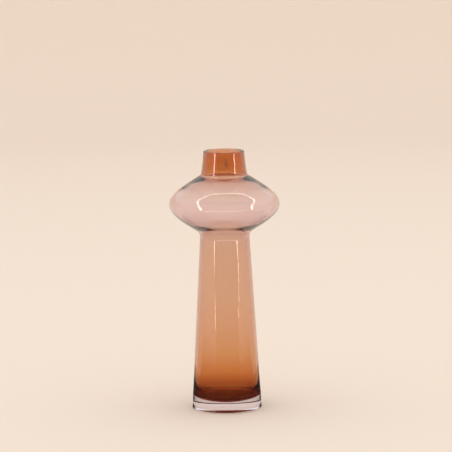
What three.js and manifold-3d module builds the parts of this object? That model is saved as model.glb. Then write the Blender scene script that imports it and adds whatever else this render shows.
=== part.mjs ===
// Glass bud vase: a mouth-blown amber body fused onto a clear glass foot, with a small film label.
// Millimetres, +Z up. The origin is the centre of the flat underside, so the vase stands on Z = 0,
// and the label faces -Y.
import * as THREE from 'three';
import { mergeVertices } from 'three/addons/utils/BufferGeometryUtils.js';
import Module from 'manifold-3d';

const wasm = await Module();
wasm.setup();

// Heights
const vaseHeight = 260;
const footHeight = 15;            // top edge of the clear foot, on the outside
const jointSag = 7.6;             // how far the fused joint hangs lower on the axis than at its edge
const neckHeight = 24.1;          // rim down to the sharp root where the bulb starts
const bulbHeight = 58.1;          // neck root down to the column root
const equatorBelowNeckRoot = 30.1;
const floorThickness = 4;         // amber glass under the cavity, on the axis

// Outside diameters
const rimDiameter = 40.8;
const waistDiameter = 42.0;       // control point of the neck's slight flare
const neckRootDiameter = 46.2;
const bulbDiameter = 110;
const columnRootDiameter = 49.2;
const baseDiameter = 70;

// Wall thickness, square to the surface, at the places that a glassblower would name
const wall = {
  rim: 3.9, neckRoot: 3.4, shoulder: 1.2, equator: 1.2, underside: 1.6, columnRoot: 2.8, column: 2.0, columnFoot: 2.6,
};
const shoulderBelowNeckRoot = 16; // where the shoulder's wall has thinned out
const undersideAboveColumnRoot = 10;
const thickColumnRoot = 25;       // height below the column root over which the wall thickens

// How the bulb swells: the angle at which each half leaves its root, and its Bezier handle lengths
// as shares of the run outwards and of the half's height
const shoulder = { angle: 31, outHandle: 1.0, equatorHandle: 0.27 };
const underside = { angle: 32, outHandle: 0.53, equatorHandle: 0.36 };

// Fire-polished and tooled roundings
const rimRounding = 1.4;
const neckRootRounding = 2.5;
const columnRootRounding = 9;
const cavityCornerRounding = 15;
const heelRounding = 1.0;

// Label
const label = { width: 13, height: 14, belowRim: 4, thickness: 0.3, glueGap: 0.3 };

// Fineness of the faceting
const segmentsAround = 40;
const stepsPerBulbHalf = 7;
const stepsOnNeck = 3;
const stepsOnColumn = 6;
const stepsPerRounding = 3;
const stepsAcrossJoint = 6;

// Places that follow from the sizes
const neckRootZ = vaseHeight - neckHeight;
const equatorZ = neckRootZ - equatorBelowNeckRoot;
const columnRootZ = neckRootZ - bulbHeight;
const cavityFloorZ = footHeight - jointSag + floorThickness;

const point = (r, z, rounding = 0) => ({ at: new THREE.Vector2(r, z), rounding });

// The cone of the column carries on through the foot down to the base diameter.
function columnRadius(z) {
  return THREE.MathUtils.mapLinear(z, 0, columnRootZ, baseDiameter / 2, columnRootDiameter / 2);
}

// Replaces each corner that has a rounding by an arc that is tangent to both of its sides.
function roundCorners(corners) {
  const outline = [];
  corners.forEach(({ at, rounding }, i) => {
    if (rounding === 0) {
      outline.push(at);
      return;
    }
    const toPrevious = corners[i - 1].at.clone().sub(at);
    const toNext = corners[i + 1].at.clone().sub(at);
    const half = Math.acos(toPrevious.dot(toNext) / (toPrevious.length() * toNext.length())) / 2;
    const room = 0.49 * Math.min(toPrevious.length(), toNext.length());
    const setback = Math.min(rounding / Math.tan(half), room);
    const radius = setback * Math.tan(half);
    const start = at.clone().addScaledVector(toPrevious.normalize(), setback);
    const end = at.clone().addScaledVector(toNext.normalize(), setback);
    const middle = toPrevious.add(toNext).normalize();
    const centre = at.clone().addScaledVector(middle, radius / Math.sin(half));
    const from = start.clone().sub(centre).angle();
    const sweep = end.clone().sub(centre).angle() - from;
    const turn = sweep - 2 * Math.PI * Math.round(sweep / (2 * Math.PI));
    for (let step = 0; step <= stepsPerRounding; step += 1) {
      const angle = from + (turn * step) / stepsPerRounding;
      outline.push(new THREE.Vector2(Math.cos(angle), Math.sin(angle)).multiplyScalar(radius).add(centre));
    }
  });
  return outline;
}

// One half of the bulb, from its root on the neck or column out to the equator.
function bulbHalf(rootRadius, rootZ, { angle, outHandle, equatorHandle }) {
  const root = new THREE.Vector2(rootRadius, rootZ);
  const equator = new THREE.Vector2(bulbDiameter / 2, equatorZ);
  const side = Math.sign(rootZ - equatorZ);
  const lean = THREE.MathUtils.degToRad(angle);
  const handle = new THREE.Vector2(Math.cos(lean), -side * Math.sin(lean));
  const rootControl = handle.multiplyScalar(outHandle * (equator.x - root.x)).add(root);
  const equatorControl = new THREE.Vector2(0, equatorHandle * (root.y - equator.y)).add(equator);
  return new THREE.CubicBezierCurve(root, rootControl, equatorControl, equator).getPoints(stepsPerBulbHalf);
}

// The outside from the top of the foot up to just under the rim.
function outerOutline() {
  const corners = [];
  for (let step = 0; step < stepsOnColumn; step += 1) {
    const z = THREE.MathUtils.lerp(footHeight, columnRootZ, step / stepsOnColumn);
    corners.push(point(columnRadius(z), z));
  }
  corners.push(point(columnRootDiameter / 2, columnRootZ, columnRootRounding));
  const lower = bulbHalf(columnRootDiameter / 2, columnRootZ, underside);
  const upper = bulbHalf(neckRootDiameter / 2, neckRootZ, shoulder).reverse();
  lower.slice(1).concat(upper.slice(1, -1)).forEach((p) => corners.push(point(p.x, p.y)));
  corners.push(point(neckRootDiameter / 2, neckRootZ, neckRootRounding));
  const neck = new THREE.QuadraticBezierCurve(
    new THREE.Vector2(neckRootDiameter / 2, neckRootZ),
    new THREE.Vector2(waistDiameter / 2, (neckRootZ + vaseHeight) / 2),
    new THREE.Vector2(rimDiameter / 2, vaseHeight),
  );
  neck.getPoints(stepsOnNeck).slice(1).forEach((p) => corners.push(point(p.x, p.y)));
  return roundCorners(corners);
}

// Wall thickness at a height, eased between the named places.
const wallPlaces = [
  [cavityFloorZ, wall.columnFoot],
  [cavityFloorZ + cavityCornerRounding, wall.columnFoot],
  [(cavityFloorZ + columnRootZ) / 2, wall.column],
  [columnRootZ - thickColumnRoot, wall.column],
  [columnRootZ, wall.columnRoot],
  [columnRootZ + undersideAboveColumnRoot, wall.underside],
  [equatorZ, wall.equator],
  [neckRootZ - shoulderBelowNeckRoot, wall.shoulder],
  [neckRootZ, wall.neckRoot],
  [vaseHeight, wall.rim],
];
function wallAt(z) {
  const above = wallPlaces.findIndex(([height]) => height >= z);
  if (above <= 0) return wallPlaces.at(above)[1];
  const [lowZ, lowWall] = wallPlaces[above - 1];
  const [highZ, highWall] = wallPlaces[above];
  return THREE.MathUtils.lerp(lowWall, highWall, THREE.MathUtils.smoothstep(z, lowZ, highZ));
}

// The cavity's wall: the outside moved inwards by the wall thickness, square to the surface.
function innerOutline(outer) {
  return outer.map((p, i) => {
    const before = outer[Math.max(i - 1, 0)];
    const after = outer[Math.min(i + 1, outer.length - 1)];
    const along = after.clone().sub(before).normalize();
    return new THREE.Vector2(p.x - along.y * wallAt(p.y), p.y + along.x * wallAt(p.y));
  });
}

// The fused joint from the axis out to its edge: it hangs to the middle like the bottom of a bubble.
function jointOutline() {
  const edge = columnRadius(footHeight);
  return Array.from({ length: stepsAcrossJoint }, (_, step) => {
    const share = step / stepsAcrossJoint;
    return point(share * edge, footHeight - jointSag * (1 - share * share));
  });
}

// Lathes a profile that starts and ends on the axis, or a closed one, about +Z.
function lathe(profile) {
  return new THREE.LatheGeometry(profile, segmentsAround).rotateX(Math.PI / 2);
}

function bodyGeometry() {
  const outer = outerOutline();
  const rim = outer.pop();
  const inner = innerOutline([...outer, rim]);
  const innerRim = inner.pop();
  const inside = inner.reverse().filter((p) => p.y > cavityFloorZ + cavityCornerRounding);
  const lowest = columnRadius(cavityFloorZ) - wall.columnFoot;
  const closing = roundCorners([
    ...jointOutline(),
    ...outer.map((p) => point(p.x, p.y)),
    point(rim.x, vaseHeight, rimRounding),
    point(innerRim.x, vaseHeight, rimRounding),
    ...inside.map((p) => point(p.x, p.y)),
    point(lowest, cavityFloorZ, cavityCornerRounding),
    point(0, cavityFloorZ),
  ]);
  return lathe(closing);
}

function footGeometry() {
  return lathe(roundCorners([
    point(0, 0),
    point(baseDiameter / 2, 0, heelRounding),
    point(columnRadius(footHeight), footHeight),
    ...jointOutline().reverse(),
  ]));
}

function toSolid(geometry) {
  const bare = geometry.clone();
  bare.deleteAttribute('normal');
  bare.deleteAttribute('uv');
  const merged = mergeVertices(bare);
  return new wasm.Manifold(new wasm.Mesh({
    numProp: 3,
    vertProperties: merged.attributes.position.array,
    triVerts: merged.index.array,
  }));
}

function toGeometry(solid) {
  const { vertProperties, triVerts } = solid.getMesh();
  const geometry = new THREE.BufferGeometry();
  geometry.setAttribute('position', new THREE.BufferAttribute(vertProperties, 3));
  geometry.setIndex(new THREE.BufferAttribute(triVerts, 1));
  return geometry;
}

// A patch of a thin sleeve that follows the neck, cut to the label's width on the -Y side.
function labelGeometry() {
  const top = vaseHeight - label.belowRim;
  const bottom = top - label.height;
  const neck = outerOutline().filter((p) => p.y > neckRootZ);
  const radiusAt = (z) => {
    const above = neck.findIndex((p) => p.y >= z);
    return THREE.MathUtils.mapLinear(z, neck[above - 1].y, neck[above].y, neck[above - 1].x, neck[above].x);
  };
  const heights = [bottom, ...neck.map((p) => p.y).filter((z) => z > bottom && z < top), top];
  const sleeve = (offset) => heights.map((z) => new THREE.Vector2(radiusAt(z) + offset, z));
  const back = sleeve(label.glueGap);
  const front = sleeve(label.glueGap + label.thickness);
  const ring = toSolid(lathe([...front, ...back.reverse(), front[0]]));
  const cutter = new THREE.BoxGeometry(label.width, neckRootDiameter, vaseHeight);
  cutter.translate(0, -neckRootDiameter / 2, vaseHeight / 2);
  return toGeometry(ring.intersect(toSolid(cutter)));
}

function glass(color) {
  return new THREE.MeshStandardMaterial({ color, roughness: 0.03, metalness: 0, transparent: true, opacity: 0.5 });
}

const vase = new THREE.Group();

const body = new THREE.Mesh(bodyGeometry(), glass('#c98a60'));
body.name = 'tinted_body';
vase.add(body);

const foot = new THREE.Mesh(footGeometry(), glass('#e6dad6'));
foot.name = 'clear_foot';
vase.add(foot);

const film = new THREE.MeshStandardMaterial({ color: '#d9b79a', roughness: 0.25, metalness: 0 });
const neckLabel = new THREE.Mesh(labelGeometry(), film);
neckLabel.name = 'neck_label';
vase.add(neckLabel);

export default vase;
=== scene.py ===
from math import acos, atan2, cos, pi, radians, sin, tan

import bpy
from mathutils import Matrix, Vector


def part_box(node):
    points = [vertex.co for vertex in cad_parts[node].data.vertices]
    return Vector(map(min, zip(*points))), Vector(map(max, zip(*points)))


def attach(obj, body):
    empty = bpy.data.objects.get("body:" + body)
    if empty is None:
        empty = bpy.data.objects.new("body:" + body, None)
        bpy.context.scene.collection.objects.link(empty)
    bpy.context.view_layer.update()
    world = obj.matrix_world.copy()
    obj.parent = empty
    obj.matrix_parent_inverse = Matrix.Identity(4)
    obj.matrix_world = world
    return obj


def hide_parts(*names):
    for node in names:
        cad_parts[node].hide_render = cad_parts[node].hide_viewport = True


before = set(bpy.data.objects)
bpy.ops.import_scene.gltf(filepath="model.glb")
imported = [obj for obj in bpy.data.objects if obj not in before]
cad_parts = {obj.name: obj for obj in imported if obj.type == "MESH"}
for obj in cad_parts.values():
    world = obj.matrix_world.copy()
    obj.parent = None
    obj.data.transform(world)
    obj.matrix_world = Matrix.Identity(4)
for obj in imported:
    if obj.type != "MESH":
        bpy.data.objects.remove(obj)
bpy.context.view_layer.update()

MM = 0.001

# ---------------------------------------------------------------------------------------------
# Amber body. A mouth-blown bubble of amber glass with a rose cast: neck, disc-shaped bulb, tapered
# column and a thick closed bottom in one piece. It is blown into a turned mould, so it is round,
# with the slight unevenness of hand-made walls, and its mouth is cut and fire-polished.

vase_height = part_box("tinted_body")[1].z
joint_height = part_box("clear_foot")[1].z
bulb_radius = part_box("tinted_body")[1].x

neck_root = (23.1 * MM, vase_height - 24.1 * MM)
equator_height = neck_root[1] - 30.1 * MM
column_root = (24.6 * MM, neck_root[1] - 58.1 * MM)
rim_radius = 20.4 * MM
waist_radius = 21.0 * MM
base_radius = 35.0 * MM
joint_sag = 7.6 * MM
floor_height = joint_height - joint_sag + 4.0 * MM
floor_radius = 20.0 * MM
bottom_rise = 20.0 * MM
column_root_fillet = 9.0 * MM
neck_root_fillet = 2.5 * MM
lip_rounding = 1.4 * MM
lip_height = 2.0 * MM
joint_steps = 24

shoulder = {"angle": 31, "out": 1.0, "up": 0.27}
underside = {"angle": 32, "out": 0.53, "up": 0.36}

wall_places = [
    (joint_height, 2.7 * MM),
    (floor_height + bottom_rise, 2.5 * MM),
    (floor_height + 48.0 * MM, 2.1 * MM),
    (column_root[1] - 25.0 * MM, 2.0 * MM),
    (column_root[1], 2.3 * MM),
    (column_root[1] + 4.0 * MM, 2.2 * MM),
    (column_root[1] + 10.0 * MM, 1.6 * MM),
    (equator_height, 1.2 * MM),
    (neck_root[1] - 16.0 * MM, 1.2 * MM),
    (neck_root[1] - 9.3 * MM, 1.9 * MM),
    (neck_root[1] - 4.0 * MM, 2.6 * MM),
    (neck_root[1], 3.4 * MM),
    (neck_root[1] + 8.0 * MM, 3.7 * MM),
    (vase_height, 3.9 * MM),
]


def bezier(p0, p1, p2, p3, steps):
    """Points along a cubic curve, both ends included."""
    curve = []
    for i in range(steps + 1):
        t = i / steps
        s = 1 - t
        curve.append(p0 * s**3 + p1 * (3 * s * s * t) + p2 * (3 * s * t * t) + p3 * t**3)
    return curve


def round_corner(before, corner, after, radius, steps=10):
    """An arc that replaces a corner and is tangent to both of its sides."""
    a, b = (before - corner).normalized(), (after - corner).normalized()
    half = acos(max(-1.0, min(1.0, a.dot(b)))) / 2
    centre = corner + (a + b).normalized() * (radius / sin(half))
    start = corner + a * (radius / tan(half)) - centre
    end = corner + b * (radius / tan(half)) - centre
    sweep = atan2(start.x * end.y - start.y * end.x, start.dot(end))
    arc = []
    for i in range(steps + 1):
        t = sweep * i / steps
        turned = Vector((start.x * cos(t) - start.y * sin(t), start.x * sin(t) + start.y * cos(t)))
        arc.append(centre + turned)
    return arc


def column_radius(height):
    """The cone of the column, which carries on through the foot."""
    return base_radius + (column_root[0] - base_radius) * height / column_root[1]


def joint_at(radius):
    """Height of the fused joint, which sags to the middle like the bottom of a bubble."""
    return joint_height - joint_sag * (1 - (radius / column_radius(joint_height)) ** 2)


def bulb_half(root, shape, steps=48):
    """One half of the bulb, from its root out to the equator."""
    root, equator = Vector(root), Vector((bulb_radius, equator_height))
    side = 1 if root.y > equator.y else -1
    lean = radians(shape["angle"])
    out = Vector((cos(lean), -side * sin(lean))) * (shape["out"] * (equator.x - root.x))
    up = Vector((0, shape["up"] * (root.y - equator.y)))
    return bezier(root, root + out, equator + up, equator, steps)


def outer_outline():
    """The outside, from the joint with the foot up to the rim."""
    rows = 50
    heights = [joint_height + (column_root[1] - joint_height) * i / rows for i in range(rows + 1)]
    column = [Vector((column_radius(h), h)) for h in heights]
    lower = bulb_half(column_root, underside)
    upper = bulb_half(neck_root, shoulder)[::-1]
    root = Vector(neck_root)
    rim = Vector((rim_radius, vase_height))
    waist = Vector((waist_radius, (root.y + rim.y) / 2))
    neck = bezier(root, root.lerp(waist, 2 / 3), rim.lerp(waist, 2 / 3), rim, 24)
    setback = column_root_fillet * 0.55
    column = [p for p in column if (p - Vector(column_root)).length > setback]
    lower = [p for p in lower if (p - Vector(column_root)).length > setback]
    column_arc = round_corner(column[-1], Vector(column_root), lower[0], column_root_fillet)
    setback = neck_root_fillet * 0.5
    upper = [p for p in upper if (p - root).length > setback]
    neck = [p for p in neck if (p - root).length > setback]
    neck_arc = round_corner(upper[-1], root, neck[0], neck_root_fillet)
    return column + column_arc + lower + upper[1:] + neck_arc + neck


def wall_at(height):
    """Wall thickness at a height, on a smooth curve through the places above."""
    last = len(wall_places) - 1
    if height <= wall_places[0][0]:
        return wall_places[0][1]
    for i in range(last):
        (low, a), (high, b) = wall_places[i], wall_places[i + 1]
        if height > high:
            continue
        before, after = wall_places[max(i - 1, 0)], wall_places[min(i + 2, last)]
        t = (height - low) / (high - low)
        slope_a = (b - before[1]) / (high - before[0]) * (high - low)
        slope_b = (after[1] - a) / (after[0] - low) * (high - low)
        bend = (2 * t**3 - 3 * t**2 + 1) * a + (3 * t**2 - 2 * t**3) * b
        return bend + (t**3 - 2 * t**2 + t) * slope_a + (t**3 - t**2) * slope_b
    return wall_places[last][1]


def body_outline():
    """The whole section of the body: up the outside, over the rim and down the cavity's wall."""
    outer = outer_outline()
    inner = []
    for i, p in enumerate(outer):
        along = (outer[min(i + 1, len(outer) - 1)] - outer[max(i - 1, 0)]).normalized()
        inner.append(p + Vector((-along.y, along.x)) * wall_at(p.y))
    rim, inner_rim = outer[-1], inner[-1]
    inner = [p for p in inner[:-1] if p.y < vase_height - lip_height]
    outer = [p for p in outer[:-1] if p.y < vase_height - lip_height]
    inside = [p for p in inner[::-1] if p.y > floor_height + bottom_rise]
    top = inside[-1]
    bowl = bezier(
        top,
        Vector((top.x + 0.3 * MM, floor_height + 5.6 * MM)),
        Vector((floor_radius + 8.5 * MM, floor_height)),
        Vector((floor_radius, floor_height)),
        32,
    )
    floor = [Vector((floor_radius * i / 8, floor_height)) for i in range(7, -1, -1)]
    joint_radii = [outer[0].x * i / joint_steps for i in range(joint_steps)]
    return (
        [Vector((radius, joint_at(radius))) for radius in joint_radii]
        + outer
        + round_corner(outer[-1], rim, inner_rim, lip_rounding)
        + round_corner(rim, Vector((inner_rim.x, vase_height)), inside[0], lip_rounding)
        + inside
        + bowl[1:]
        + floor
    )


def outline_object(name, outline):
    """A line of vertices in the XZ plane, each at its radius and height."""
    mesh = bpy.data.meshes.new(name)
    edges = [(i, i + 1) for i in range(len(outline) - 1)]
    mesh.from_pydata([(p.x, 0, p.y) for p in outline], edges, [])
    piece = bpy.data.objects.new(name, mesh)
    bpy.context.scene.collection.objects.link(piece)
    return piece


sharp_edge = radians(35)
steps_around = 160
waves_per_metre = 24.0
wave_seed = 3.0


def spin_tree():
    """Spins an outline about the vase's axis, with the slight waviness of hand-blown glass."""
    tree = bpy.data.node_groups.new("spun_glass", "GeometryNodeTree")
    face = tree.interface
    face.new_socket("Outline", in_out="INPUT", socket_type="NodeSocketGeometry")
    face.new_socket("Steps Around", in_out="INPUT", socket_type="NodeSocketInt")
    face.new_socket("Wave Depth", in_out="INPUT", socket_type="NodeSocketFloat")
    face.new_socket("Waves Per Metre", in_out="INPUT", socket_type="NodeSocketFloat")
    face.new_socket("Seed", in_out="INPUT", socket_type="NodeSocketFloat")
    face.new_socket("Glass", in_out="INPUT", socket_type="NodeSocketMaterial")
    face.new_socket("Solid", in_out="OUTPUT", socket_type="NodeSocketGeometry")

    node, link = tree.nodes.new, tree.links.new
    given, out = node("NodeGroupInput"), node("NodeGroupOutput")

    def math(kind, a, b=None):
        m = node("ShaderNodeMath")
        m.operation = kind
        for socket, value in zip(m.inputs, (a, b)):
            if value is None:
                continue
            if isinstance(value, (int, float)):
                socket.default_value = value
            else:
                link(value, socket)
        return m.outputs[0]

    count = node("GeometryNodeAttributeDomainSize")
    link(given.outputs["Outline"], count.inputs["Geometry"])
    grid = node("GeometryNodeMeshGrid")
    link(count.outputs["Point Count"], grid.inputs["Vertices X"])
    link(math("ADD", given.outputs["Steps Around"], 1), grid.inputs["Vertices Y"])

    place, split = node("GeometryNodeInputPosition"), node("ShaderNodeSeparateXYZ")
    link(place.outputs[0], split.inputs[0])
    along = math("ADD", split.outputs["X"], 0.5)
    index = math("ROUND", math("MULTIPLY", along, math("SUBTRACT", count.outputs["Point Count"], 1)))
    angle = math("MULTIPLY", math("ADD", split.outputs["Y"], 0.5), 2 * pi)

    sample = node("GeometryNodeSampleIndex")
    sample.data_type, sample.domain = "FLOAT_VECTOR", "POINT"
    link(given.outputs["Outline"], sample.inputs["Geometry"])
    link(place.outputs[0], sample.inputs["Value"])
    link(index, sample.inputs["Index"])
    section = node("ShaderNodeSeparateXYZ")
    link(sample.outputs["Value"], section.inputs[0])
    radius, height = section.outputs["X"], section.outputs["Z"]

    turn = node("ShaderNodeCombineXYZ")
    link(math("MULTIPLY", radius, math("COSINE", angle)), turn.inputs["X"])
    link(math("MULTIPLY", radius, math("SINE", angle)), turn.inputs["Y"])
    link(height, turn.inputs["Z"])
    noise = node("ShaderNodeTexNoise")
    noise.noise_dimensions = "4D"
    noise.inputs["Detail"].default_value = 0
    link(turn.outputs[0], noise.inputs["Vector"])
    link(given.outputs["Seed"], noise.inputs["W"])
    link(given.outputs["Waves Per Metre"], noise.inputs["Scale"])
    swing = math("MULTIPLY", math("SUBTRACT", noise.outputs[0], 0.5), given.outputs["Wave Depth"])
    scale = math("ADD", swing, 1.0)
    wavy = node("ShaderNodeVectorMath")
    wavy.operation = "MULTIPLY"
    keep_height = node("ShaderNodeCombineXYZ")
    link(scale, keep_height.inputs["X"])
    link(scale, keep_height.inputs["Y"])
    keep_height.inputs["Z"].default_value = 1.0
    link(turn.outputs[0], wavy.inputs[0])
    link(keep_height.outputs[0], wavy.inputs[1])

    move, merge = node("GeometryNodeSetPosition"), node("GeometryNodeMergeByDistance")
    outwards = node("GeometryNodeFlipFaces")
    link(grid.outputs["Mesh"], outwards.inputs["Mesh"])
    link(outwards.outputs[0], move.inputs["Geometry"])
    link(wavy.outputs[0], move.inputs["Position"])
    merge.inputs["Distance"].default_value = 1e-7
    link(move.outputs[0], merge.inputs["Geometry"])
    smooth, crease = node("GeometryNodeSetShadeSmooth"), node("GeometryNodeSetShadeSmooth")
    smooth.domain, crease.domain = "FACE", "EDGE"
    bend, sharp = node("GeometryNodeInputMeshEdgeAngle"), node("FunctionNodeCompare")
    link(bend.outputs["Unsigned Angle"], sharp.inputs[0])
    sharp.inputs[1].default_value = sharp_edge
    link(merge.outputs[0], smooth.inputs["Geometry"])
    link(smooth.outputs[0], crease.inputs["Geometry"])
    link(sharp.outputs[0], crease.inputs["Selection"])
    crease.inputs["Shade Smooth"].default_value = False
    paint = node("GeometryNodeSetMaterial")
    link(crease.outputs[0], paint.inputs["Geometry"])
    link(given.outputs["Glass"], paint.inputs["Material"])
    link(paint.outputs[0], out.inputs[0])
    return tree


spun_glass = spin_tree()


def spin(name, outline, glass, wave):
    """Runs the tree on an outline and keeps the result as a plain mesh."""
    piece = outline_object(name, outline)
    run = piece.modifiers.new("spin", "NODES")
    run.node_group = spun_glass
    sockets = {s.name: s.identifier for s in spun_glass.interface.items_tree if s.in_out == "INPUT"}
    run[sockets["Steps Around"]] = steps_around
    run[sockets["Wave Depth"]] = wave
    run[sockets["Waves Per Metre"]] = waves_per_metre
    run[sockets["Seed"]] = wave_seed
    run[sockets["Glass"]] = glass
    graph = bpy.context.evaluated_depsgraph_get()
    solid = bpy.data.meshes.new_from_object(piece.evaluated_get(graph))
    piece.modifiers.remove(run)
    solid.materials.clear()
    solid.materials.append(glass)
    piece.data = solid
    return piece


def skin_group():
    """Blown glass surface: faint waves and pull lines as a normal, and smudges as a roughness."""
    group = bpy.data.node_groups.new("blown_skin", "ShaderNodeTree")
    face = group.interface
    face.new_socket("Wave Depth", in_out="INPUT", socket_type="NodeSocketFloat")
    face.new_socket("Smudge", in_out="INPUT", socket_type="NodeSocketFloat")
    face.new_socket("Normal", in_out="OUTPUT", socket_type="NodeSocketVector")
    face.new_socket("Roughness", in_out="OUTPUT", socket_type="NodeSocketFloat")
    node, link = group.nodes.new, group.links.new
    given, out = node("NodeGroupInput"), node("NodeGroupOutput")
    where = node("ShaderNodeTexCoord")
    pull = node("ShaderNodeMapping")
    pull.inputs["Scale"].default_value = (1.0, 1.0, 0.16)
    link(where.outputs["Object"], pull.inputs["Vector"])
    lines, waves, smudge = (node("ShaderNodeTexNoise") for _ in range(3))
    lines.inputs["Scale"].default_value, lines.inputs["Detail"].default_value = 130.0, 2.0
    waves.inputs["Scale"].default_value, waves.inputs["Detail"].default_value = 38.0, 1.0
    smudge.inputs["Scale"].default_value, smudge.inputs["Detail"].default_value = 55.0, 6.0
    link(pull.outputs[0], lines.inputs["Vector"])
    link(where.outputs["Object"], waves.inputs["Vector"])
    link(where.outputs["Object"], smudge.inputs["Vector"])
    both = node("ShaderNodeMath")
    both.operation = "MULTIPLY_ADD"
    both.inputs[1].default_value = 0.12
    link(lines.outputs[0], both.inputs[0])
    link(waves.outputs[0], both.inputs[2])
    bump = node("ShaderNodeBump")
    bump.inputs["Distance"].default_value = 0.001
    link(given.outputs["Wave Depth"], bump.inputs["Strength"])
    link(both.outputs[0], bump.inputs["Height"])
    link(bump.outputs[0], out.inputs["Normal"])
    spread = node("ShaderNodeMapRange")
    spread.inputs["From Min"].default_value, spread.inputs["From Max"].default_value = 0.5, 0.8
    link(smudge.outputs[0], spread.inputs["Value"])
    link(given.outputs["Smudge"], spread.inputs["To Max"])
    link(spread.outputs[0], out.inputs["Roughness"])
    return group


blown_skin = skin_group()
glass_ior = 1.5
joint_reach = 0.2 * MM


def glass_material(name, waviness, smudge, depth_colour, depth_per_metre):
    """Clear or tinted glass. Its fused joint face doesn't bend light, because both sides are glass."""
    material = bpy.data.materials.new(name)
    material.use_nodes = True
    tree = material.node_tree
    node, link = tree.nodes.new, tree.links.new
    tree.nodes.clear()
    surface, out = node("ShaderNodeBsdfPrincipled"), node("ShaderNodeOutputMaterial")
    surface.inputs["Transmission Weight"].default_value = 1.0
    surface.inputs["IOR"].default_value = glass_ior
    skin = node("ShaderNodeGroup")
    skin.node_tree = blown_skin
    skin.inputs["Wave Depth"].default_value = waviness
    skin.inputs["Smudge"].default_value = smudge
    link(skin.outputs["Normal"], surface.inputs["Normal"])
    where, split = node("ShaderNodeTexCoord"), node("ShaderNodeSeparateXYZ")
    link(where.outputs["Object"], split.inputs[0])
    flat, square = node("ShaderNodeVectorMath"), node("ShaderNodeVectorMath")
    flat.operation, square.operation = "MULTIPLY", "DOT_PRODUCT"
    level = node("ShaderNodeMath")
    level.operation = "MULTIPLY_ADD"
    flat.inputs[1].default_value = (1, 1, 0)
    link(where.outputs["Object"], flat.inputs[0])
    link(flat.outputs[0], square.inputs[0])
    link(flat.outputs[0], square.inputs[1])
    link(square.outputs["Value"], level.inputs[0])
    level.inputs[1].default_value = -joint_sag / column_radius(joint_height) ** 2
    link(split.outputs["Z"], level.inputs[2])
    joint, bend = node("ShaderNodeMath"), node("ShaderNodeMapRange")
    joint.operation = "COMPARE"
    joint.inputs[1].default_value = joint_at(0)
    joint.inputs[2].default_value = joint_reach
    link(level.outputs[0], joint.inputs[0])
    link(joint.outputs[0], bend.inputs["Value"])
    bend.inputs["To Min"].default_value, bend.inputs["To Max"].default_value = glass_ior, 1.0
    link(bend.outputs[0], surface.inputs["IOR"])
    polish = node("ShaderNodeMath")
    polish.operation = "MULTIPLY_ADD"
    polish.use_clamp = True
    polish.inputs[1].default_value = -1.0
    link(joint.outputs[0], polish.inputs[0])
    link(skin.outputs["Roughness"], polish.inputs[2])
    link(polish.outputs[0], surface.inputs["Roughness"])
    depth = node("ShaderNodeVolumeAbsorption")
    depth.inputs["Color"].default_value = (*depth_colour, 1)
    depth.inputs["Density"].default_value = depth_per_metre
    link(surface.outputs[0], out.inputs["Surface"])
    link(depth.outputs[0], out.inputs["Volume"])
    return material, surface, split


amber_glass, amber_surface, amber_place = glass_material(
    "amber_blown_glass", waviness=0.02, smudge=0.015, depth_colour=(0.50, 0.167, 0.27), depth_per_metre=120.0
)
# The colour lies in a thin casing, so it is palest where the bubble is blown out the widest.
amber_by_height = [
    (5 * MM, (0.56, 0.27, 0.11)),
    (18 * MM, (0.74, 0.37, 0.14)),
    (30 * MM, (0.92, 0.56, 0.25)),
    (40 * MM, (0.955, 0.65, 0.365)),
    (55 * MM, (0.965, 0.735, 0.485)),
    (84 * MM, (0.97, 0.785, 0.60)),
    (113 * MM, (0.97, 0.815, 0.655)),
    (160 * MM, (0.97, 0.835, 0.695)),
    (174 * MM, (0.975, 0.87, 0.765)),
    (185 * MM, (0.995, 0.905, 0.84)),
    (200 * MM, (0.99, 0.93, 0.92)),
    (220 * MM, (0.99, 0.925, 0.885)),
    (231 * MM, (1.0, 0.87, 0.76)),
    (240 * MM, (1.0, 0.655, 0.33)),
    (252 * MM, (1.0, 0.60, 0.28)),
    (vase_height, (0.93, 0.61, 0.39)),
]
amber_tree = amber_glass.node_tree
span = amber_tree.nodes.new("ShaderNodeMapRange")
span.inputs["From Max"].default_value = vase_height
ramp = amber_tree.nodes.new("ShaderNodeValToRGB")
for i, (height, colour) in enumerate(amber_by_height):
    stop = ramp.color_ramp.elements[i] if i < 2 else ramp.color_ramp.elements.new(height / vase_height)
    stop.position = height / vase_height
    stop.color = (*colour, 1)
amber_tree.links.new(amber_place.outputs["Z"], span.inputs["Value"])
amber_tree.links.new(span.outputs[0], ramp.inputs[0])
amber_tree.links.new(ramp.outputs[0], amber_surface.inputs["Base Color"])

hand_wave = 0.004
body = spin("amber_body", body_outline(), amber_glass, hand_wave)
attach(body, "root")
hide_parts("tinted_body")

# ---------------------------------------------------------------------------------------------
# Clear foot. A gather of clear glass, pressed to a disc and fused under the hot body, so there is
# no seam on the side. It stands on a ring: the underside is slightly hollow, and the heel is rounded.

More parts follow.
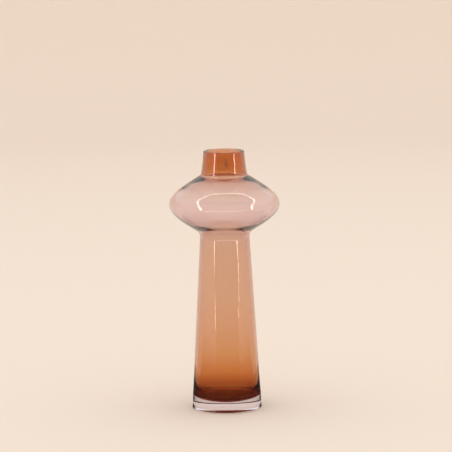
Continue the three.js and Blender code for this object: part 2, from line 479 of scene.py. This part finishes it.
heel_rounding = 0.9 * MM
flare_height = 3.6 * MM
flare = 0.45 * MM
joint_gap = 0.05 * MM
heel = Vector((base_radius + 0.2 * MM, 0))
waist = Vector((column_radius(flare_height) - flare / 2, flare_height))
top_edge = Vector((column_radius(joint_height - joint_gap), joint_height - joint_gap))
hollow_radius, hollow_depth = 31.5 * MM, 0.9 * MM
hollow_steps = 24
hollow_shares = [i / hollow_steps for i in range(hollow_steps)]
dish_radii = [top_edge.x * i / joint_steps for i in range(joint_steps - 1, -1, -1)]
foot_outline = (
    [Vector((hollow_radius * share, hollow_depth * (1 - share**2))) for share in hollow_shares]
    + [Vector((hollow_radius, 0))]
    + round_corner(Vector((0, 0)), heel, waist, heel_rounding)
    + [waist.lerp(top_edge, i / 8) for i in range(9)]
    + [Vector((radius, joint_at(radius) - joint_gap)) for radius in dish_radii]
)
clear_glass, clear_surface, _ = glass_material(
    "clear_pressed_glass", waviness=0.02, smudge=0.015, depth_colour=(0.52, 0.48, 0.86), depth_per_metre=4.0
)
clear_surface.inputs["Base Color"].default_value = (0.99, 0.98, 1.0, 1)
foot = spin("clear_foot_disc", foot_outline, clear_glass, hand_wave)
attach(foot, "root")
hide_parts("clear_foot")

# ---------------------------------------------------------------------------------------------
# Neck label. A small clear film sticker on the front of the neck, with round corners, and a sprig
# printed on it in brown ink. The film is thin, so both follow the neck's curve.

film_low, film_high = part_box("neck_label")
film_width = film_high.x - film_low.x
film_corner = 1.6 * MM
film_lift, film_thickness = 0.12 * MM, 0.09 * MM
ink_lift, ink_thickness = 0.22 * MM, 0.02 * MM
neck_line = [p for p in outer_outline() if p.y > neck_root[1] + 3 * MM]


def neck_radius(height):
    """Radius of the neck's outside at a height."""
    for low, high in zip(neck_line, neck_line[1:]):
        if height <= high.y:
            return low.x + (high.x - low.x) * (height - low.y) / (high.y - low.y)
    return neck_line[-1].x


def on_neck(across, height, lift):
    """A point of the label, at a distance across its front, laid round the neck."""
    radius = neck_radius(height)
    angle = across / radius
    return ((radius + lift) * sin(angle), -(radius + lift) * cos(angle), height)


def patch(shape, spine, half_widths, lift, thickness, columns=8):
    """Adds a closed thin patch to a shape. It has a half-width at each point of its spine."""
    verts, faces = shape
    first, rows = len(verts), len(spine)
    for layer in (lift, lift + thickness):
        for i, (point, half) in enumerate(zip(spine, half_widths)):
            along = (spine[min(i + 1, rows - 1)] - spine[max(i - 1, 0)]).normalized()
            side = Vector((along.y, -along.x)) * half
            for j in range(columns + 1):
                place = point + side * (2 * j / columns - 1)
                verts.append(on_neck(place.x, place.y, layer))
    layer_size, row = rows * (columns + 1), columns + 1

    def at(layer, i, j):
        return first + layer * layer_size + i * row + j

    for i in range(rows - 1):
        for j in range(columns):
            faces.append((at(1, i, j), at(1, i, j + 1), at(1, i + 1, j + 1), at(1, i + 1, j)))
            faces.append((at(0, i, j), at(0, i + 1, j), at(0, i + 1, j + 1), at(0, i, j + 1)))
        faces.append((at(0, i, 0), at(1, i, 0), at(1, i + 1, 0), at(0, i + 1, 0)))
        edge = columns
        faces.append((at(0, i, edge), at(0, i + 1, edge), at(1, i + 1, edge), at(1, i, edge)))
    last = rows - 1
    for j in range(columns):
        faces.append((at(0, 0, j), at(0, 0, j + 1), at(1, 0, j + 1), at(1, 0, j)))
        faces.append((at(0, last, j), at(1, last, j), at(1, last, j + 1), at(0, last, j + 1)))


def thin_piece(name, shape, material):
    """Makes a piece of the label from a shape that patch has filled."""
    mesh = bpy.data.meshes.new(name)
    mesh.from_pydata(shape[0], [], shape[1])
    mesh.materials.append(material)
    piece = bpy.data.objects.new(name, mesh)
    bpy.context.scene.collection.objects.link(piece)
    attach(piece, "root")
    return piece


film_material = bpy.data.materials.new("clear_film")
film_material.use_nodes = True
film_surface = film_material.node_tree.nodes["Principled BSDF"]
film_surface.inputs["Base Color"].default_value = (0.84, 0.74, 0.56, 1)
film_surface.inputs["Transmission Weight"].default_value = 1.0
film_surface.inputs["IOR"].default_value = 1.45
film_surface.inputs["Roughness"].default_value = 0.06

film_rows = 32
film_shape = ([], [])
film_spine, film_halves = [], []
for i in range(film_rows + 1):
    height = film_low.z + (film_high.z - film_low.z) * (1 - cos(pi * i / film_rows)) / 2
    into_corner = max(0.0, film_corner - min(height - film_low.z, film_high.z - height))
    film_spine.append(Vector((0, height)))
    film_halves.append(film_width / 2 - film_corner + (film_corner**2 - into_corner**2) ** 0.5)
patch(film_shape, film_spine, film_halves, film_lift, film_thickness, columns=20)
film = thin_piece("label_film", film_shape, film_material)
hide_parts("neck_label")

ink = bpy.data.materials.new("brown_ink")
ink.use_nodes = True
ink_surface = ink.node_tree.nodes["Principled BSDF"]
ink_surface.inputs["Roughness"].default_value = 0.45
ink_tree = ink.node_tree
ink_where = ink_tree.nodes.new("ShaderNodeTexCoord")
ink_grain = ink_tree.nodes.new("ShaderNodeTexNoise")
ink_tone = ink_tree.nodes.new("ShaderNodeValToRGB")
ink_grain.inputs["Scale"].default_value = 4000.0
ink_tone.color_ramp.elements[0].color = (0.14, 0.045, 0.018, 1)
ink_tone.color_ramp.elements[1].color = (0.26, 0.09, 0.035, 1)
ink_tree.links.new(ink_where.outputs["Object"], ink_grain.inputs["Vector"])
ink_tree.links.new(ink_grain.outputs[0], ink_tone.inputs[0])
ink_tree.links.new(ink_tone.outputs[0], ink_surface.inputs["Base Color"])

print_middle = Vector((2.0 * MM, 249.2 * MM))
stem_half = 0.13 * MM
leaf_half = 0.42 * MM
# Each leaf: where it leaves the stem, as a share of the stem, then its angle and its length.
leaves = [
    (0.2, 48, 3.0),
    (0.34, 135, 2.8),
    (0.5, 45, 2.9),
    (0.66, 138, 2.6),
    (0.84, 48, 2.3),
    (1.0, 96, 2.2),
]


def stem_point(share):
    """The sprig's stem, gently curved, from bottom to top."""
    return print_middle + Vector((0.9 * sin(share * 2.2) - 0.6, -5.2 + 8.0 * share)) * MM


print_shape = ([], [])
stem_steps, leaf_steps = 14, 10
stem = [stem_point(i / stem_steps) for i in range(stem_steps + 1)]
patch(print_shape, stem, [stem_half] * len(stem), ink_lift, ink_thickness, columns=2)
for share, angle, length in leaves:
    root = stem_point(share)
    reach = Vector((cos(radians(angle)), sin(radians(angle)))) * (length * MM)
    shares = [i / leaf_steps for i in range(leaf_steps + 1)]
    spine = [root + reach * share for share in shares]
    halves = [leaf_half * sin(pi * (0.04 + 0.92 * share)) ** 0.8 for share in shares]
    patch(print_shape, spine, halves, ink_lift, ink_thickness, columns=4)
thin_piece("label_print", print_shape, ink)

# ---------------------------------------------------------------------------------------------
# Stage. A pale floor that sweeps up into a round wall, and what the glass mirrors around it.

def plain_material(name, colour, gloss=0.5):
    """A matt paper or fabric. Gloss is how strongly its surface mirrors, and 0 is not at all."""
    material = bpy.data.materials.new(name)
    material.use_nodes = True
    surface = material.node_tree.nodes["Principled BSDF"]
    surface.inputs["Base Color"].default_value = (*colour, 1)
    surface.inputs["Roughness"].default_value = 0.9
    surface.inputs["Specular IOR Level"].default_value = gloss
    return material


paper = plain_material("paper", (0.86, 0.755, 0.66), gloss=0.0)
sweep_start, sweep_end, wall_top = 2.7, 3.5, 1.3
sweep_radius, sweep_steps = sweep_end - sweep_start, 12
curve = [
    Vector((sweep_start + sweep_radius * sin(t), sweep_radius * (1 - cos(t))))
    for t in (pi / 2 * i / sweep_steps for i in range(sweep_steps + 1))
]
bowl_outline = [Vector((x, 0)) for x in (0, 0.1, 0.5, 1.5)] + curve + [Vector((sweep_end, wall_top))]
bowl_outline = [p - Vector((0, 0.1 * MM)) for p in bowl_outline]
bowl = spin("sweep", bowl_outline, paper, 0.0)

scene = bpy.context.scene
world = bpy.data.worlds.new("studio")
scene.world = world
world.use_nodes = True
world.node_tree.nodes["Background"].inputs["Color"].default_value = (1.0, 0.975, 0.955, 1)
world.node_tree.nodes["Background"].inputs["Strength"].default_value = 1.03

eye = Vector((0, 0, 0.2))


def toward(azimuth, elevation, distance):
    """A place round the vase. Azimuth 0 is on the camera's side and 90 is to its right."""
    a, e = radians(azimuth), radians(elevation)
    return eye + Vector((sin(a) * cos(e), -cos(a) * cos(e), sin(e))) * distance


def mirrored(name, verts, faces, material):
    """Something that is seen only as a reflection. It lights nothing and isn't seen through glass."""
    mesh = bpy.data.meshes.new(name)
    mesh.from_pydata(verts, [], faces)
    mesh.materials.append(material)
    thing = bpy.data.objects.new(name, mesh)
    scene.collection.objects.link(thing)
    thing.visible_camera = False
    thing.visible_diffuse = False
    thing.visible_transmission = False
    thing.visible_shadow = False


# The light frame round the tent's opening: points along it and the width of its band, in metres.
light_frame = [
    (-0.456, -0.873, 0.02, 0.026), (-0.189, -0.968, 0.019, 0.02), (0.121, -0.979, 0.019, 0.02),
    (0.431, -0.886, 0.02, 0.026), (0.62, -0.76, 0.022, 0.02), (0.74, -0.64, 0.03, 0.006),
    (0.80, -0.56, 0.055, 0.006), (0.815, -0.53, 0.10, 0.04), (0.815, -0.53, 0.16, 0.10),
    (0.81, -0.53, 0.30, 0.125), (0.79, -0.49, 0.50, 0.08), (0.77, -0.38, 0.68, 0.045),
    (0.74, -0.22, 0.79, 0.05), (0.69, -0.07, 0.88, 0.05), (0.60, 0.05, 0.965, 0.045),
    (0.50, 0.13, 1.02, 0.03), (0.373, 0.176, 1.075, 0.018), (0.211, 0.119, 1.135, 0.014),
    (0.041, 0.073, 1.163, 0.014), (-0.117, 0.085, 1.156, 0.014), (-0.256, 0.115, 1.126, 0.016),
    (-0.36, 0.085, 1.096, 0.022), (-0.462, 0.048, 1.054, 0.032), (-0.56, -0.04, 1.0, 0.045),
    (-0.65, -0.17, 0.92, 0.05), (-0.72, -0.34, 0.79, 0.05), (-0.76, -0.50, 0.60, 0.05),
    (-0.755, -0.60, 0.42, 0.10), (-0.735, -0.64, 0.25, 0.125), (-0.725, -0.65, 0.17, 0.10),
    (-0.72, -0.655, 0.12, 0.04), (-0.71, -0.67, 0.08, 0.003), (-0.62, -0.76, 0.025, 0.012),
]
band, band_faces = [], []
count = len(light_frame)
for i, (*place, width) in enumerate(light_frame):
    before, after = Vector(light_frame[i - 1][:3]), Vector(light_frame[(i + 1) % count][:3])
    here = Vector(place)
    side = (after - before).cross(here - eye).normalized() * (width / 2)
    band += [here - side, here + side]
    after_i = (i + 1) % count
    band_faces.append((2 * i, 2 * i + 1, 2 * after_i + 1, 2 * after_i))
glow = bpy.data.materials.new("frame_light")
glow.use_nodes = True
glow.node_tree.nodes.clear()
lamp = glow.node_tree.nodes.new("ShaderNodeEmission")
lamp_out = glow.node_tree.nodes.new("ShaderNodeOutputMaterial")
lamp.inputs["Color"].default_value = (1.0, 0.88, 0.79, 1)
lamp.inputs["Strength"].default_value = 14.0
glow.node_tree.links.new(lamp.outputs[0], lamp_out.inputs[0])
mirrored("light_frame", band, band_faces, glow)

# Inside the frame is the dark opening. A low flag keeps the frame's lower bar off the column.
dark = plain_material("dark_cloth", (0.04, 0.033, 0.035))
behind_frame = 1.02
opening = [Vector((0, -0.8, 0.9))]
opening += [eye + (Vector(point[:3]) - eye) * behind_frame for point in light_frame]
mirrored("opening", opening, [(0, 1 + i, 1 + (i + 1) % count) for i in range(count)], dark)
flag_from, flag_span, flag_distance, flag_top, flag_steps = -38, 86, 0.5, 0.065, 8
flag = []
for i in range(flag_steps + 1):
    place = toward(flag_from + flag_span * i / flag_steps, 0, flag_distance)
    flag += [(place.x, place.y, 0.0), (place.x, place.y, flag_top)]
flag_faces = [(2 * i, 2 * i + 1, 2 * i + 3, 2 * i + 2) for i in range(flag_steps)]
mirrored("flag", flag, flag_faces, dark)

# Painted shade: a dark sheet on the table on the camera's side is seen only in the glass's reflections,
# where it darkens the vase's lower body. It thins out away from the vase.
shade_sheet_material = dark.copy()
shade_sheet_material.name = "shade_sheet"
shade_sheet_tree = shade_sheet_material.node_tree
shade_sheet_where = shade_sheet_tree.nodes.new("ShaderNodeTexCoord")
shade_sheet_reach = shade_sheet_tree.nodes.new("ShaderNodeVectorMath")
shade_sheet_fade = shade_sheet_tree.nodes.new("ShaderNodeMapRange")
shade_sheet_clear = shade_sheet_tree.nodes.new("ShaderNodeBsdfTransparent")
shade_sheet_mix = shade_sheet_tree.nodes.new("ShaderNodeMixShader")
shade_sheet_reach.operation = "LENGTH"
shade_sheet_fade.inputs["From Min"].default_value, shade_sheet_fade.inputs["From Max"].default_value = 0.45, 0.95
shade_sheet_tree.links.new(shade_sheet_where.outputs["Object"], shade_sheet_reach.inputs[0])
shade_sheet_tree.links.new(shade_sheet_reach.outputs["Value"], shade_sheet_fade.inputs["Value"])
shade_sheet_tree.links.new(shade_sheet_fade.outputs[0], shade_sheet_mix.inputs[0])
shade_sheet_tree.links.new(shade_sheet_tree.nodes["Principled BSDF"].outputs[0], shade_sheet_mix.inputs[1])
shade_sheet_tree.links.new(shade_sheet_clear.outputs[0], shade_sheet_mix.inputs[2])
shade_sheet_tree.links.new(shade_sheet_mix.outputs[0], shade_sheet_tree.nodes["Material Output"].inputs["Surface"])
shade_sheet_half_angle, shade_sheet_steps, shade_sheet_lift = 150, 32, 0.3 * MM
front_half_angle, front_reach, side_reach = 100, 1.0, 0.28
shade_sheet_points = []
for i in range(shade_sheet_steps + 1):
    a = radians(shade_sheet_half_angle * (2 * i / shade_sheet_steps - 1))
    far = front_reach if abs(a) < radians(front_half_angle) else side_reach
    for reach in (0.037, 0.25 * far + 0.01, 0.5 * far + 0.01, far):
        shade_sheet_points.append((sin(a) * reach, -cos(a) * reach, shade_sheet_lift))
shade_sheet_faces = []
for i in range(shade_sheet_steps):
    for j in range(3):
        corner = 4 * i + j
        shade_sheet_faces.append((corner, corner + 1, corner + 5, corner + 4))
mirrored("shade_sheet", shade_sheet_points, shade_sheet_faces, shade_sheet_material)

overhead = bpy.data.lights.new("overhead", "AREA")
overhead.shape, overhead.size = "DISK", 2.4
overhead.energy = 6.0
overhead.color = (1.0, 0.96, 0.93)
overhead_lamp = bpy.data.objects.new("overhead", overhead)
overhead_lamp.location = (0, 0, 2.6)
scene.collection.objects.link(overhead_lamp)

# ---------------------------------------------------------------------------------------------
# Camera

camera = bpy.data.cameras.new("camera")
camera.sensor_width = 36.0
camera.lens = 185.0
camera.clip_start, camera.clip_end = 0.05, 50
viewer = bpy.data.objects.new("camera", camera)
viewer.location = (0.0013, -2.3, 0.497)
pitch, roll = radians(7.75), radians(0.76)
viewer.matrix_world = (
    Matrix.Translation(viewer.location)
    @ Matrix.Rotation(pi / 2 - pitch, 4, "X")
    @ Matrix.Rotation(-roll, 4, "Z")
)
scene.collection.objects.link(viewer)
scene.camera = viewer

scene.view_settings.view_transform = "Standard"
scene.cycles.max_bounces = 48
scene.cycles.glossy_bounces = 48
scene.cycles.transmission_bounces = 48
